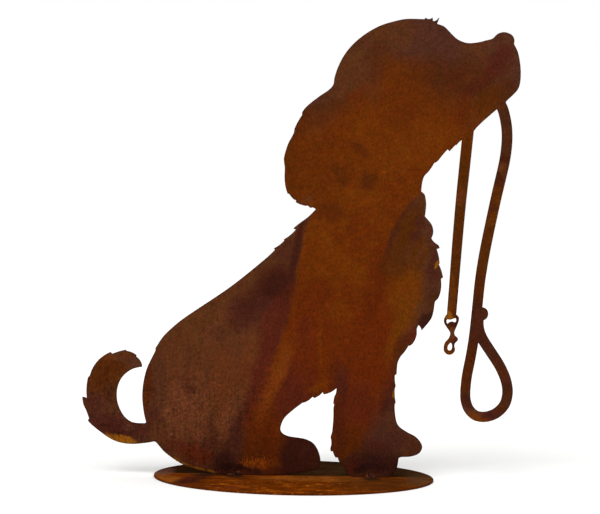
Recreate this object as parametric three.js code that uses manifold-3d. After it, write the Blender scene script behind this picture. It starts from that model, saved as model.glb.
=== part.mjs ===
// A seated puppy with its leash in its mouth, cut in outline from one steel sheet that stands upright on a
// round plate and is tack-welded to it at the paws.
// Millimetres. +Z is up and +X is the way the puppy faces. The origin is the centre of the plate's
// underside, and the sheet stands in the XZ plane.
import * as THREE from 'three';
import { mergeVertices } from 'three/addons/utils/BufferGeometryUtils.js';
import Module from 'manifold-3d';

const plateRadius = 148;
const plateThickness = 2;
const plateSides = 96;
const sheetThickness = 2;

// How finely a curve is followed, and how far a point may stand off its neighbours' chord to be dropped
const curveStep = 1.5;
const chordSlack = 0.06;

// Widths of the leash's two straps, at the mouth and at their lower end
const hookStrapWidths = [12.1, 10];
const loopStrapWidths = [11.6, 10.8];
const handLoopWidths = [10.8, 11.8];

// The stitched swelling where the hand loop closes on its strap
const stitchedEnd = { x: 197, z: 175.5, halfWidth: 6.4, halfHeight: 7, sides: 36 };

// Tack welds: the middle of each blob along X, its half length, its reach out over the plate and its height
const frontWeld = [{ x: 80.6, halfLength: 6.6, reach: 5.5, height: 5 }];
const rearWeld = [
  { x: -61, halfLength: 5.6, reach: 5.5, height: 6 },
  { x: -68, halfLength: 3.6, reach: 4, height: 3.2 },
];
const weldSegments = 16;

const wasm = await Module();
wasm.setup();

// A path round an outline, in X and height above the plate, as the cutting flame followed it: smooth sweeps
// that end in corners. Every path runs clockwise as seen from -Y, so its outside is on the left.
class CutPath {
  constructor(x, z) {
    this.points = [new THREE.Vector2(x, z)];
  }

  get end() {
    return this.points[this.points.length - 1];
  }

  // Straight cuts from corner to corner
  step(...corners) {
    for (const [x, z] of corners) this.points.push(new THREE.Vector2(x, z));
    return this;
  }

  follow(curve) {
    const count = Math.max(2, Math.round(curve.getLength() / curveStep));
    for (const p of curve.getSpacedPoints(count).slice(1)) this.points.push(new THREE.Vector2(p.x, p.y));
    return this;
  }

  // A smooth sweep through the given points, to a corner at the last of them
  sweep(...through) {
    return this.follow(smoothLine([this.end.toArray(), ...through]));
  }

  // An arc to a corner, standing off its chord by the given amount, outwards if it is positive
  swell(corner, bow) {
    const to = new THREE.Vector2(...corner);
    const along = to.clone().sub(this.end);
    const outwards = new THREE.Vector2(-along.y, along.x).normalize();
    const control = this.end.clone().addScaledVector(along, 0.5).addScaledVector(outwards, 2 * bow);
    return this.follow(new THREE.QuadraticBezierCurve(this.end.clone(), control, to));
  }

  // One lock of fur: an edge that swells to the lock's tip, and a short cut back to its root
  lock(tip, root, bow = 0) {
    return this.swell(tip, bow).step(root);
  }
}

// A smooth curve through points in X and height
function smoothLine(through) {
  const knots = through.map(([x, z]) => new THREE.Vector3(x, z, 0));
  return new THREE.CatmullRomCurve3(knots, false, 'centripetal');
}

// Drops the points of a closed outline that its neighbours' chord already carries
function thinned(points) {
  const standOff = (p, a, b) => {
    const along = b.clone().sub(a);
    return Math.abs(along.cross(p.clone().sub(a))) / along.length();
  };
  const kept = [];
  let from = 0;
  while (from < points.length) {
    kept.push(points[from]);
    const spans = (end) => points.slice(from + 1, end)
      .every((p) => standOff(p, points[from], points[end % points.length]) < chordSlack);
    let to = from + 1;
    while (to < points.length && spans(to + 1)) to += 1;
    from = to;
  }
  return kept;
}

// The tail, from the haunch round the outside to its tip, and back along the inner side to the rump
function cutTail(path) {
  return path
    .sweep([-157, 31.9], [-173, 30.4], [-185, 31.8], [-195, 35.5], [-205, 42], [-216.5, 51], [-219.7, 54.6])
    .step([-218.4, 56.8])
    .sweep([-221.5, 65], [-224.8, 72], [-226, 79.3])
    .step([-224.5, 79.6], [-221.2, 78.4])
    .lock([-220.4, 100.3], [-218.5, 102.4], 0.9)
    .lock([-196.8, 127.8], [-195, 126], 4)
    .lock([-180.9, 130.5], [-179.8, 129.3], 0.3)
    .lock([-169, 124.8], [-169.4, 123.3], 0.8)
    .swell([-162.9, 113], 1.5)
    .step([-163.5, 112.4])
    .sweep([-168.8, 111.4], [-175, 109], [-184, 101], [-188.8, 89.5], [-188.5, 75], [-182, 61],
      [-174.5, 54.6], [-168, 52.9], [-159, 52.8])
    .step([-157.8, 53.7]);
}

// The back, from the tail up to the notch under the ear
function cutBack(path) {
  return path
    .sweep([-160.5, 65], [-162.3, 85.5], [-158.6, 109], [-149.1, 130.3])
    .step([-149.4, 132.4])
    .sweep([-141.8, 144.5], [-131.5, 155.2], [-120, 164.8], [-97, 180.8], [-70, 200], [-43, 222.2],
      [-31, 232.7], [-24.5, 239.3])
    .step([-25.6, 241])
    .swell([-14.8, 249.5], -0.8)
    .step([-15, 250.7])
    .swell([-2.8, 261.2], -0.7)
    .step([-5.4, 262.5])
    .sweep([1.3, 268.2], [10, 274.8], [18, 283]);
}

// The hanging ear, from its ragged lower edge up to the dip where it joins the crown
function cutEar(path) {
  return path
    .step([17, 284.1], [14.8, 285], [12.6, 284.4], [9.5, 286.8], [7.3, 286.6], [5.2, 287])
    .swell([-3, 290], 0.3)
    .step([-3.1, 292.4], [-5.5, 293.3], [-10.5, 299], [-12.1, 299.2])
    .sweep([-14.2, 305.5], [-15.5, 314], [-15.6, 327])
    .step([-16.7, 336])
    .sweep([-13.3, 350], [-6.5, 364.5])
    .step([-6.2, 367.5])
    .swell([1.8, 383], 0.6)
    .step([1.8, 385.8])
    .sweep([4.5, 390], [10, 395.4], [20, 403.4], [28.5, 409.3], [32.3, 412.8])
    .step([34.5, 416.5]);
}

// The crown of the head, and the tuft of hair that stands on it
function cutCrown(path) {
  return path
    .sweep([35.3, 422.5], [38, 432], [43.5, 444.3], [50.6, 454.8], [60.3, 464.7], [72, 473.4], [84, 479.8],
      [96, 483.8], [110, 487], [129.8, 487.2])
    .step([130.9, 488.9], [133.1, 487.5], [135.5, 487.5])
    .lock([138.3, 489.3], [139, 485.5], -0.3)
    .step([140.5, 485.3])
    .swell([145.2, 489.3], -0.5)
    .step([145.6, 488.3], [144.6, 485.6], [143.4, 482.5]);
}

// The forehead, the bridge of the muzzle and the nose, down to the corner of the mouth
function cutMuzzle(path) {
  return path
    .sweep([151, 479.7], [158, 473], [165, 466.7], [172.5, 463.4], [178, 462.6], [188, 463.8], [202.5, 468])
    .sweep([205.5, 471], [208.5, 473.4], [215, 475], [222.5, 472.4], [225.2, 469], [225.8, 465.3],
      [225.4, 462.5])
    .sweep([229.5, 454.5], [232.3, 442], [233.2, 430], [232.3, 419.5], [230, 413.8], [225, 408],
      [219, 402.2], [217.5, 400.3]);
}

// The jaw between the two straps, and the locks of the throat
function cutThroat(path) {
  return path
    .step([208.2, 392.5], [186.5, 372], [184.9, 369.8], [171.7, 359.4])
    .lock([166.4, 354.1], [165.3, 354.1], -0.3)
    .lock([159.1, 347.3], [157, 349.3])
    .sweep([151.6, 343], [147, 337], [144.4, 334.9])
    .step([143.4, 335])
    .sweep([141, 330.8], [137.3, 325.4], [132.7, 320.2], [130.5, 312], [129.9, 304.2]);
}

// The fringe of the chest, lock below lock, down to the far paw
function cutChest(path) {
  return path
    .step([133.4, 301.1])
    .lock([135, 285], [134.3, 277.8], 1)
    .step([140.8, 270.4])
    .lock([143.2, 259], [141.6, 254.6], 1.1)
    .swell([148.2, 248.2], -0.7)
    .lock([150.4, 244.3], [147.4, 243.2], 0.6)
    .lock([150.8, 228.3], [150, 227.2], 0.5)
    .lock([154.8, 213.2], [152.6, 211.8], 0.5)
    .sweep([153, 206], [152.6, 199.5], [150, 191.2], [147, 187.8], [146.4, 186])
    .sweep([145.7, 180], [143.6, 170.8], [140, 165], [132.9, 156.4])
    .swell([129.6, 162.2], -0.6)
    .sweep([128.1, 158.8], [127.6, 150.5], [123.6, 142.2], [120.5, 140])
    .step([119.4, 140.1])
    .sweep([115.9, 134.3], [110.8, 127.8], [108.2, 121.5], [107.6, 115], [107.3, 109.7])
    .step([105.5, 108.5])
    .lock([106.6, 97], [105.8, 94.7], -0.4)
    .lock([107, 80], [106.1, 77.8], -0.6);
}

// The far paw, and the near foreleg down its front, along its foot and up its back to the belly
function cutForelegs(path) {
  return path
    .sweep([106.7, 66], [108.9, 57.5], [112, 53.5], [119.5, 48.6], [129, 43.5], [134.3, 37.5],
      [135.9, 33], [134.5, 28.3], [131, 25], [123, 22.4], [113, 21.6], [111.1, 20.4])
    .sweep([110.4, 14.5], [109.4, 10], [106.5, 5], [100, 0])
    .step([62, 0], [59.2, 1.9])
    .sweep([54.7, 5.5], [53.1, 10.7], [47.8, 16.2], [46.4, 20])
    .step([44, 20], [42.5, 22.5], [40.9, 26.7], [38.8, 26.4], [38.4, 29.8])
    .swell([38.4, 41.4], -0.9)
    .step([39.7, 46.5])
    .swell([40.8, 72.3], -0.5)
    .step([41.6, 76.2], [40.5, 77.6])
    .sweep([41.4, 84], [43.2, 88.5], [43.7, 93.6]);
}

// The belly, with its hanging locks, and the hollow in front of the thigh
function cutBelly(path) {
  return path
    .lock([30.2, 86.7], [29.1, 89], 1.2)
    .lock([20.2, 82.6], [18.5, 84], 0.8)
    .lock([9.3, 77.6], [8, 77.5], 0.8)
    .sweep([-3, 68.7], [-11.5, 60], [-14.9, 49], [-12.5, 44.8], [-7, 42.1], [12, 39], [20, 35], [25, 28],
      [28, 18.5], [27.8, 10.5], [25.5, 7.5], [20.4, 5.9]);
}

// The hind foot and the underside of the haunch, back to the tail
function cutHaunch(path) {
  return path
    .sweep([5.6, 3.4], [-8, 1.6], [-20, 0])
    .step([-80, 0])
    .sweep([-90, 2.3], [-98.4, 3.7], [-117, 9.3], [-126, 14.3], [-138, 23], [-146.6, 32.4], [-148.3, 33.5]);
}

function puppyOutline() {
  const path = new CutPath(-148.3, 33.5);
  const stretches = [cutTail, cutBack, cutEar, cutCrown, cutMuzzle, cutThroat, cutChest, cutForelegs,
    cutBelly, cutHaunch];
  for (const cut of stretches) cut(path);
  return path.points.slice(0, -1);
}

// Middle lines of the straps, from inside the jaw down, and of the hand loop, back up to its strap
const hookStrapLine = [[179, 376], [176.2, 341], [172.6, 300], [168.8, 246], [165.6, 192], [164.3, 172]];
const loopStrapLine = [[210.7, 402], [215.6, 390.8], [219.6, 370], [218.7, 345], [209.6, 299.5],
  [198.6, 242.2], [194.1, 211], [192.4, 192], [190.2, 166], [188.6, 150], [185.7, 130], [181.8, 108],
  [180.5, 93]];
const handLoopLine = [[180.7, 98], [181, 84], [184.9, 73.8], [192, 67.5], [200.8, 66.1], [209.6, 68.2],
  [217.1, 73], [223.1, 81], [225.4, 93], [223.3, 105.5], [217.4, 119], [209.2, 131.8], [202, 142.2],
  [197, 150.2], [194.2, 157], [192.9, 164], [192.8, 174]];

// The outline of a strap along a middle line, its width changing evenly from one end to the other
function strapOutline(middleLine, [startWidth, endWidth]) {
  const curve = smoothLine(middleLine);
  const count = Math.round(curve.getLength() / curveStep);
  const sides = [1, -1].map((side) => curve.getSpacedPoints(count).map((p, i) => {
    const along = curve.getTangentAt(i / count);
    const reach = side * THREE.MathUtils.lerp(startWidth, endWidth, i / count) / 2;
    return new THREE.Vector2(p.x - along.y * reach, p.y + along.x * reach);
  }));
  return [...sides[0], ...sides[1].reverse()];
}

function stitchedEndOutline() {
  const { x, z, halfWidth, halfHeight, sides } = stitchedEnd;
  return new THREE.EllipseCurve(x, z, halfWidth, halfHeight).getSpacedPoints(sides).slice(0, -1);
}

// The snap hook: the block that its strap ends in, the neck below it and the round eye
function snapHookOutline() {
  return new CutPath(159.7, 174.6)
    .sweep([158, 172.6], [156.7, 169.8], [156.3, 167.5], [156.9, 164.6], [160.3, 159.3], [163.1, 155.2],
      [163.3, 153.2], [161.7, 148.8], [158, 144.3], [156.7, 139.5], [157.2, 134.9], [160, 132],
      [163, 131.3], [167, 133], [168.9, 137], [168, 141], [168.7, 143.6], [171.6, 146.8], [171.8, 148],
      [171, 150], [168.5, 152.1], [167.8, 155.3], [169, 158.5], [171, 163.7], [172.4, 168.5],
      [172.2, 171.4], [170.6, 173.5], [169, 174.6])
    .points;
}

function snapSlotOutline() {
  return new CutPath(159.2, 167.9)
    .sweep([160.2, 169], [161.6, 168.6], [164.5, 168.9], [168.8, 170.4], [169.4, 169], [169.3, 167],
      [168.8, 166.2], [167.6, 166], [165.6, 166.8], [162.4, 166.1], [160.3, 164.3], [159.4, 165.6])
    .points;
}

function snapEyeOutline() {
  return new CutPath(163.9, 144.2)
    .sweep([164.9, 143.4], [165.6, 140], [164.9, 137.1], [163, 135.8], [161.1, 137.1], [160.7, 138.3],
      [161.5, 141.4])
    .points;
}

// A flat piece of the given outline, upright in the XZ plane on top of the plate
function cutSheet(outline, holes = []) {
  const shape = new THREE.Shape(thinned(outline));
  shape.holes = holes.map((hole) => new THREE.Path(thinned(hole)));
  const geometry = new THREE.ExtrudeGeometry(shape, { depth: sheetThickness, bevelEnabled: false });
  geometry.rotateX(Math.PI / 2);
  geometry.translate(0, sheetThickness / 2, plateThickness);
  return geometry;
}

function toManifold(geometry) {
  const plain = geometry.clone();
  plain.deleteAttribute('normal');
  plain.deleteAttribute('uv');
  const merged = mergeVertices(plain);
  return new wasm.Manifold(new wasm.Mesh({
    numProp: 3,
    vertProperties: merged.attributes.position.array,
    triVerts: new Uint32Array(merged.index.array),
  }));
}

function toGeometry(solid) {
  const mesh = solid.getMesh();
  const geometry = new THREE.BufferGeometry();
  geometry.setAttribute('position', new THREE.BufferAttribute(mesh.vertProperties, 3));
  geometry.setIndex(new THREE.BufferAttribute(mesh.triVerts, 1));
  geometry.computeVertexNormals();
  return geometry;
}

function fused(geometries) {
  return toGeometry(geometries.map(toManifold).reduce((whole, solid) => whole.add(solid)));
}

// The puppy and its leash are cut from one sheet, so their outlines are fused
function makeSheet() {
  return fused([
    cutSheet(puppyOutline()),
    cutSheet(strapOutline(hookStrapLine, hookStrapWidths)),
    cutSheet(strapOutline(loopStrapLine, loopStrapWidths)),
    cutSheet(strapOutline(handLoopLine, handLoopWidths)),
    cutSheet(stitchedEndOutline()),
    cutSheet(snapHookOutline(), [snapSlotOutline(), snapEyeOutline()]),
  ]);
}

function makePlate() {
  const plate = new THREE.CylinderGeometry(plateRadius, plateRadius, plateThickness, plateSides);
  plate.rotateX(Math.PI / 2);
  plate.translate(0, 0, plateThickness / 2);
  return plate;
}

// A tack weld: low rounded blobs, cut flat where they lie on the sheet's face and on the plate
function makeWeld(blobs) {
  const front = -sheetThickness / 2;
  const room = new THREE.BoxGeometry(plateRadius, plateRadius, plateRadius);
  return fused(blobs.map(({ x, halfLength, reach, height }) => {
    const blob = new THREE.SphereGeometry(1, weldSegments, weldSegments / 2);
    blob.scale(halfLength, reach, height);
    blob.translate(x, front, plateThickness);
    const corner = room.clone();
    corner.translate(x, front - plateRadius / 2, plateThickness + plateRadius / 2);
    return toGeometry(toManifold(blob).intersect(toManifold(corner)));
  }));
}

const finishes = {
  dog_silhouette: { color: '#6a3518', roughness: 0.55, metalness: 0.35 },
  base_plate: { color: '#5e2f1a', roughness: 0.5, metalness: 0.35 },
  weld_bead_rear: { color: '#2c1a14', roughness: 0.6, metalness: 0.4 },
  weld_bead_front: { color: '#33201a', roughness: 0.6, metalness: 0.4 },
};

const shapes = {
  dog_silhouette: makeSheet(),
  base_plate: makePlate(),
  weld_bead_rear: makeWeld(rearWeld),
  weld_bead_front: makeWeld(frontWeld),
};

const sculpture = new THREE.Group();
for (const [name, geometry] of Object.entries(shapes)) {
  const piece = new THREE.Mesh(geometry, new THREE.MeshStandardMaterial(finishes[name]));
  piece.name = name;
  sculpture.add(piece);
}

export default sculpture;
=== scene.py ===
# A seated puppy with its leash, cut from rusted steel sheet and tacked onto a round plate.
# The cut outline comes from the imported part; the faces, the cut edges, the plate's worn surface
# and the weld beads are worked out here, and all finishes are made of nodes.
import math
import bpy
import numpy as np
from mathutils import Euler, Matrix, Vector
from mathutils.geometry import delaunay_2d_cdt


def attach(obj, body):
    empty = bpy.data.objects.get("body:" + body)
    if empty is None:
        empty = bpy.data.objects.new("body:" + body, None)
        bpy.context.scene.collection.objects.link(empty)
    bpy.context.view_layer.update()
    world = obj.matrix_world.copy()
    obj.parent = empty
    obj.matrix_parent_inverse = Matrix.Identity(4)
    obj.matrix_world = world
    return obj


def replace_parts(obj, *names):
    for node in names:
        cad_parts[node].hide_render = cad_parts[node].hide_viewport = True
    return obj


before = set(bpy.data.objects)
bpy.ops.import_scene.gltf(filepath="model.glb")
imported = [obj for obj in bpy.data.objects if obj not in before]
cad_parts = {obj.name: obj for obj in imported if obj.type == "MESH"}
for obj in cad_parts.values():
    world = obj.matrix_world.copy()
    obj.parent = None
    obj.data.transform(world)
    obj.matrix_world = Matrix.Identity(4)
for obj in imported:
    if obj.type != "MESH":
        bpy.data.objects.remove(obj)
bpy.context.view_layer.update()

mm = 0.001
print("frame loaded")

# what a user would change: the view
view = {
    "distance": 1.95,      # from the middle of the sheet, in metres
    "side": 0.0024,        # along X
    "height": 0.2342,
    "roll": 1.07,          # degrees, which lets the puppy lean to the right by as much
    "mmPerPixel": 1.0614,  # at the sheet's front face
    "faceDepth": 1.0,      # from the middle of the sheet to that face, in millimetres
    "pictureWidth": 600,   # pixels
    "sensor": 36.0,
    "reach": (0.05, 60),   # the nearest and farthest things it sees, in metres
}
# what a user would change: the light
studio = {
    "backdrop": 1.0,       # how white the surroundings look
    "ambient": 0.8,        # how much light they give
    "mirrored": 0.12,      # how bright they are in the gloss
    "key": {"power": 1.35, "softness": 38, "towards": (0.55, 1.0, -1.05)},
    "fill": {"power": 0.55, "softness": 60, "towards": (-0.8, 1.0, -0.8)},
}


class Value:
    # wraps a socket, so that sums and products of values add their Math nodes
    def __init__(self, nodes, socket):
        self.nodes = nodes
        self.socket = socket

    def math(self, operation, *others):
        return self.nodes.add("ShaderNodeMath", {"operation": operation}, [self, *others])

    def __add__(self, other):
        return self.math("ADD", other)

    def __radd__(self, other):
        return self.math("ADD", other)

    def __sub__(self, other):
        return self.math("SUBTRACT", other)

    def __rsub__(self, other):
        return self.nodes.add("ShaderNodeMath", {"operation": "SUBTRACT"}, [other, self])

    def __mul__(self, other):
        return self.math("MULTIPLY", other)

    def __rmul__(self, other):
        return self.math("MULTIPLY", other)

    def __truediv__(self, other):
        return self.math("DIVIDE", other)

    def __abs__(self):
        return self.math("ABSOLUTE")

    def rise(self, low, high, top=1.0):
        # a soft step from 0 at low to top at high
        settings = {"interpolation_type": "SMOOTHSTEP", "clamp": True}
        inputs = {0: self, 1: low, 2: high, 3: 0, 4: top}
        return self.nodes.add("ShaderNodeMapRange", settings, inputs)


class Nodes:
    # a node tree with one way to add nodes of any type
    def __init__(self, tree):
        self.tree = tree
        tree.nodes.clear()

    def add(self, kind, settings, inputs, output=0):
        # the settings come first, then numbers, colours or values by each socket's name or number
        made = self.tree.nodes.new(kind)
        for key, setting in settings.items():
            if key == "curve":
                self.draw(made.mapping, setting)
            else:
                setattr(made, key, setting)
        pairs = inputs.items() if isinstance(inputs, dict) else enumerate(inputs)
        for key, given in pairs:
            if isinstance(given, Value):
                self.tree.links.new(given.socket, made.inputs[key])
            else:
                made.inputs[key].default_value = given
        return Value(self, made.outputs[output]) if made.outputs else None

    def draw(self, mapping, points):
        # the curve of a Float Curve node has two points from the start, and gets the others here
        line = mapping.curves[0]
        for place, point in zip(points[:2], line.points):
            point.location = place
        for place in points[2:]:
            line.points.new(*place)
        mapping.use_clip = False
        mapping.update()


def makeCamera(look):
    # the focal length in pixels is the distance to the sheet's face over the size of a pixel there
    data = bpy.data.cameras.new("camera")
    data.sensor_width = look["sensor"]
    pixels = (look["distance"] / mm - look["faceDepth"]) / look["mmPerPixel"]
    data.lens = pixels * look["sensor"] / look["pictureWidth"]
    data.clip_start, data.clip_end = look["reach"]
    camera = bpy.data.objects.new("camera", data)
    upright = Euler((math.pi / 2, 0, 0)).to_matrix()
    roll = Matrix.Rotation(math.radians(look["roll"]), 3, "Z")
    camera.rotation_euler = (upright @ roll).to_euler()
    camera.location = (look["side"], -look["distance"], look["height"])
    bpy.context.scene.collection.objects.link(camera)
    bpy.context.scene.camera = camera


def makeSun(name, power, softness, towards):
    # a far light that shines along a direction; softness is its width in degrees
    data = bpy.data.lights.new(name, "SUN")
    data.energy = power
    data.angle = math.radians(softness)
    lamp = bpy.data.objects.new(name, data)
    lamp.rotation_euler = Vector(towards).to_track_quat("-Z", "Y").to_euler()
    bpy.context.scene.collection.objects.link(lamp)


def makeSurroundings(look):
    # strength: the backdrop for the eye, less of it in the gloss, and the ambient light for the rest
    world = bpy.data.worlds.new("surroundings")
    world.use_nodes = True
    bpy.context.scene.world = world
    nodes = Nodes(world.node_tree)
    inGloss = nodes.add("ShaderNodeLightPath", {}, {}, "Is Glossy Ray")
    forEye = nodes.add("ShaderNodeLightPath", {}, {}, "Is Camera Ray")
    unseen = nodes.add("ShaderNodeMix", {}, {0: inGloss, 2: look["ambient"], 3: look["mirrored"]})
    strength = nodes.add("ShaderNodeMix", {}, {0: forEye, 2: unseen, 3: look["backdrop"]})
    back = nodes.add("ShaderNodeBackground", {}, {"Color": (1, 1, 1, 1), "Strength": strength})
    nodes.add("ShaderNodeOutputWorld", {}, {"Surface": back})


makeCamera(view)
makeSurroundings(studio)
for name in ("key", "fill"):
    makeSun(name, **studio[name])
bpy.context.scene.view_settings.view_transform = "Standard"
print("camera and light ready")


def linear(rgb, gain, haze):
    # screen colour in 0 to 255 to linear light by the usual screen curve, then to the surface's own
    # colour: less the haze that the gloss adds, and divided by the light's gain
    darkest = 0.0004
    c = np.array(rgb, float) / 255
    light = np.where(c <= 0.04045, c / 12.92, ((c + 0.055) / 1.055) ** 2.4)
    return tuple(np.maximum(light - haze, darkest) / gain)


class Finish(Nodes):
    # one material's nodes; its tones are given as they look in this light
    def __init__(self, name, gain=1.0, haze=0.0):
        self.gain = gain
        self.haze = haze
        self.material = bpy.data.materials.new(name)
        self.material.use_nodes = True
        super().__init__(self.material.node_tree)
        self.coords = self.add("ShaderNodeTexCoord", {}, {}, "Object")

    def parts(self, where):
        # the three numbers of a place
        split = self.add("ShaderNodeSeparateXYZ", {}, [where]).socket.node
        return [Value(self, socket) for socket in split.outputs]

    def vector(self, operation, a, b, output=0):
        # b is a vector too, apart from SCALE, where it is a number
        inputs = {0: a, "Scale": b} if operation == "SCALE" else [a, b]
        return self.add("ShaderNodeVectorMath", {"operation": operation}, inputs, output)

    def noise(self, where, size, detail=3.0, roughness=0.5, lopsided=0.0, output=0):
        # size is the width of one swell, in metres
        inputs = {"Vector": where, "Scale": 1 / size, "Detail": detail,
                  "Roughness": roughness, "Distortion": lopsided}
        return self.add("ShaderNodeTexNoise", {}, inputs, output)

    def streaks(self, where, size, detail, roughness, lopsided=0.0):
        # noise whose swells have a width and a height, in metres
        settings = {"vector_type": "TEXTURE"}
        wide, high = size
        measured = self.add("ShaderNodeMapping", settings, {"Vector": where, "Scale": (wide, 1.0, high)})
        return self.noise(measured, 1.0, detail, roughness, lopsided)

    def astray(self, where, reach, swells):
        # each place moved by up to twice the reach, in millimetres; swells is how many lie in a metre
        shift = self.vector("SUBTRACT", self.noise(where, 1 / swells, 5, output=1), (0.5, 0.5, 0.5))
        most = reach * 4 * mm
        return self.vector("ADD", where, self.vector("MULTIPLY", shift, (most, 0, most)))

    def mix(self, a, b, share):
        # a where share is 0, b where it is 1; a tone is turned into the surface's own colour
        inputs = {0: share}
        for key, given in ((6, a), (7, b)):
            isTone = not isinstance(given, Value)
            inputs[key] = (*linear(given, self.gain, self.haze), 1) if isTone else given
        return self.add("ShaderNodeMix", {"data_type": "RGBA"}, inputs, 2)

    def shade(self, colour, brightness):
        # the colour times a number, by Vector Math so that the hue stays
        return self.vector("SCALE", colour, brightness)

    def line(self, value, points, span, reach):
        # a drawn line in millimetres: value runs over span, and the result over reach
        low, high = span
        bottom, top = reach
        drawn = [((x - low) / (high - low), (y - bottom) / (top - bottom)) for x, y in points]
        share = (value - low * mm) / ((high - low) * mm)
        curve = self.add("ShaderNodeFloatCurve", {"curve": drawn}, {"Value": share})
        return curve * ((top - bottom) * mm) + bottom * mm

    def finish(self, colour, roughness, bumps, specular, metallic=0.0):
        # bumps are pairs of a height from 0 to 1 and its depth in metres, laid over each other
        inputs = {"Base Color": colour, "Roughness": roughness,
                  "Specular IOR Level": specular, "Metallic": metallic}
        for height, depth in bumps:
            bump = {"Height": height, "Distance": depth, "Strength": 1.0}
            if "Normal" in inputs:
                bump["Normal"] = inputs["Normal"]
            inputs["Normal"] = self.add("ShaderNodeBump", {}, bump)
        shader = self.add("ShaderNodeBsdfPrincipled", {}, inputs)
        self.add("ShaderNodeOutputMaterial", {}, {"Surface": shader})
        return self.material


def makePiece(name, corners, faces, material, attributes=None):
    # a mesh from whole arrays: corners in millimetres, faces as arrays of three or four corner numbers
    mesh = bpy.data.meshes.new(name)
    mesh.vertices.add(len(corners))
    mesh.vertices.foreach_set("co", (np.asarray(corners) * mm).astype(np.float32).ravel())
    sizes = np.concatenate([np.full(len(f), f.shape[1]) for f in faces])
    starts = np.concatenate([[0], np.cumsum(sizes)[:-1]])
    mesh.loops.add(int(sizes.sum()))
    mesh.loops.foreach_set("vertex_index", np.concatenate([f.ravel() for f in faces]).astype(np.int32))
    mesh.polygons.add(len(sizes))
    mesh.polygons.foreach_set("loop_start", starts.astype(np.int32))
    mesh.polygons.foreach_set("use_smooth", np.ones(len(sizes), bool))
    for key, values in (attributes or {}).items():
        layer = mesh.attributes.new(key, "FLOAT", "POINT")
        layer.data.foreach_set("value", values.astype(np.float32))
    mesh.update(calc_edges=True)
    mesh.validate()
    mesh.materials.append(material)
    piece = bpy.data.objects.new(name, mesh)
    bpy.context.scene.collection.objects.link(piece)
    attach(piece, "root")
    return piece


def gridFaces(number):
    # the quads of a grid of corner numbers, closed round its second direction
    ahead = np.roll(number, -1, axis=1)
    return np.stack([number[:-1], number[1:], ahead[1:], ahead[:-1]], -1).reshape(-1, 4)


def fan(hub, rim):
    # triangles from one corner to each stretch of a row of corners
    return np.stack([np.full(len(rim) - 1, hub), rim[:-1], rim[1:]], 1)


def swells(x, z, size, seed):
    # smooth random hills from 0 to 1: a random number at each crossing of a net with that mesh size,
    # blended by the soft step 3t^2 - 2t^3 between the four crossings around a point
    net = 97                               # meshes before the net repeats
    offX, offZ = 31.7, 17.3                # so that no line of the net runs through the middle
    chance = np.random.default_rng(seed).random((net, net))
    u, v = x / size + offX, z / size + offZ
    i, j = np.floor(u).astype(int), np.floor(v).astype(int)
    s, t = u - i, v - j
    s, t = s * s * (3 - 2 * s), t * t * (3 - 2 * t)
    low = chance[i % net, j % net] * (1 - s) + chance[(i + 1) % net, j % net] * s
    high = chance[i % net, (j + 1) % net] * (1 - s) + chance[(i + 1) % net, (j + 1) % net] * s
    return low * (1 - t) + high * t


def pitting(x, z, sizes, seed):
    # rust relief from 0 to 1: swells of falling size added up, each half as deep as the last
    weights = 0.5 ** np.arange(len(sizes))
    layers = [w * swells(x, z, s, seed + k) for k, (s, w) in enumerate(zip(sizes, weights))]
    return sum(layers) / weights.sum()


# the cut sheet
sheetShape = {
    "node": "dog_silhouette",
    "thick": 2.0,
    "outlineStep": 1.1,       # longest stretch between two points of the refined outline
    "cornerAngle": 32,        # degrees: a turn sharper than this stays a corner
    "arris": 0.28,            # radius of the worn edge between face and cut
    "arrisTurns": (0, 30, 60, 90),
    "kerfLean": 0.06,         # how far the cut leans in towards the back
    "cutRoughness": 0.05,
    "cutSeed": 5,
    "grid": 2.3,              # spacing of the points inside the faces
    "quickGrid": 2.5,
    "margin": 0.66,           # how near a point may come to the outline, in spacings
    "pitSizes": (19, 8.5, 4.6),
    "pitFade": 3.0,           # how far from the cut the relief is full
    "pitDepths": (0.09, 0.12),    # in front and at the back
    "pitSeeds": (11, 29),
}


def frontOutline(node):
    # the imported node's face at the front: the edges that one triangle alone uses are its outline
    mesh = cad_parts[node].data
    co = np.empty(len(mesh.vertices) * 3, np.float32)
    mesh.vertices.foreach_get("co", co)
    co = co.reshape(-1, 3) / mm
    mesh.calc_loop_triangles()
    tri = np.empty(len(mesh.loop_triangles) * 3, np.int32)
    mesh.loop_triangles.foreach_get("vertices", tri)
    tri = tri.reshape(-1, 3)
    front = co[:, 1].min()
    tri = tri[(co[tri][:, :, 1] < front + 0.01).all(1)]
    flat = np.round(co[:, [0, 2]], 3)
    points, same = np.unique(flat[tri.ravel()], axis=0, return_inverse=True)
    tri = same.reshape(-1, 3)
    edges = np.concatenate([tri[:, [0, 1]], tri[:, [1, 2]], tri[:, [2, 0]]])
    code = edges[:, 0].astype(np.int64) * len(points) + edges[:, 1]
    back = edges[:, 1].astype(np.int64) * len(points) + edges[:, 0]
    edges = edges[~np.isin(code, back)]
    used, renumbered = np.unique(edges.ravel(), return_inverse=True)
    edges = renumbered.reshape(-1, 2)
    after = np.empty(len(used), int)
    after[edges[:, 0]] = edges[:, 1]
    return points[used], after


def unit(v):
    # each vector divided by its length
    return v / np.maximum(np.linalg.norm(v, axis=-1, keepdims=True), 1e-9)


def pointsBefore(after):
    # the number of the point before each one, from the numbers of the points after them
    before = np.empty_like(after)
    before[after] = np.arange(len(after))
    return before


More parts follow.
